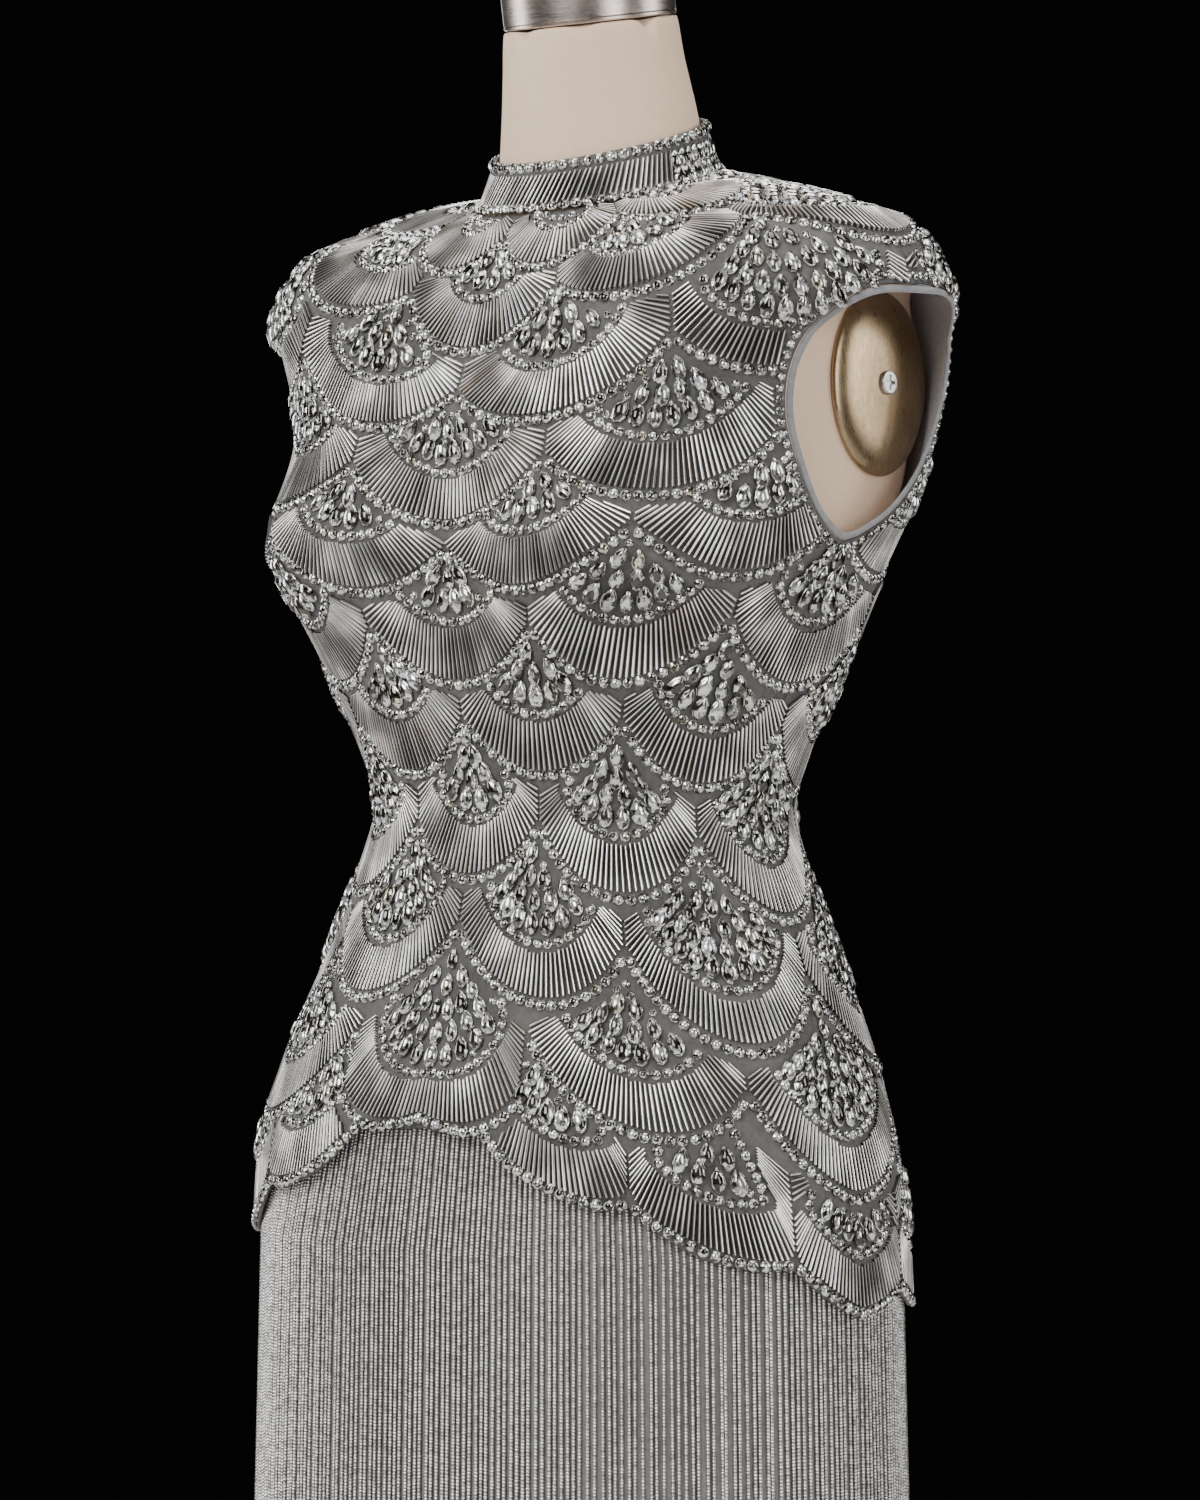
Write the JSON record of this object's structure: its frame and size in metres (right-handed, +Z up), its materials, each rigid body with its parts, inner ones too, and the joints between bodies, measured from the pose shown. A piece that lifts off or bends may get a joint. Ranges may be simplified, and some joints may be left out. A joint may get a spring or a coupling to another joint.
{
  "type": "fringe dress on dress form",
  "caption": "Sleeveless high-neck tunic dress beaded in fish-scale fans over a beaded fringe skirt, worn by a limbless dress form on a round stand.",
  "frame": {"origin": "centre of the underside of the stand's round foot", "axes": "+Z up; the dress faces -Y; +X is its own left side"},
  "size_m": [0.46, 0.46, 1.5029],
  "materials": {
    "beaded_cloth": "silver beading on a taupe-grey net",
    "plain_cloth": "smooth grey satin",
    "binding_cloth": "matt lilac-grey",
    "fringe_beads": "strings of small silver-lined beads",
    "linen": "stretched cream linen",
    "brushed_steel": "brushed",
    "satin_brass": "satin",
    "stand_paint": "satin black"
  },
  "bodies": {
    "root": {"form_torso": "linen", "form_neck_cap": "brushed_steel", "arm_plate_left": "satin_brass", "arm_plate_right": "satin_brass", "plate_screw_left": "brushed_steel", "plate_screw_right": "brushed_steel", "stand_base": "stand_paint", "stand_socket": "stand_paint", "stand_pole": "brushed_steel", "bodice_front": "beaded_cloth", "bodice_back_left": "beaded_cloth", "bodice_back_right": "beaded_cloth", "collar_band": "beaded_cloth", "armhole_binding_left": "binding_cloth", "armhole_binding_right": "binding_cloth", "skirt_front": "plain_cloth", "skirt_back": "plain_cloth", "fringe_front": "fringe_beads", "fringe_back": "fringe_beads"}
  },
  "joints": []
}
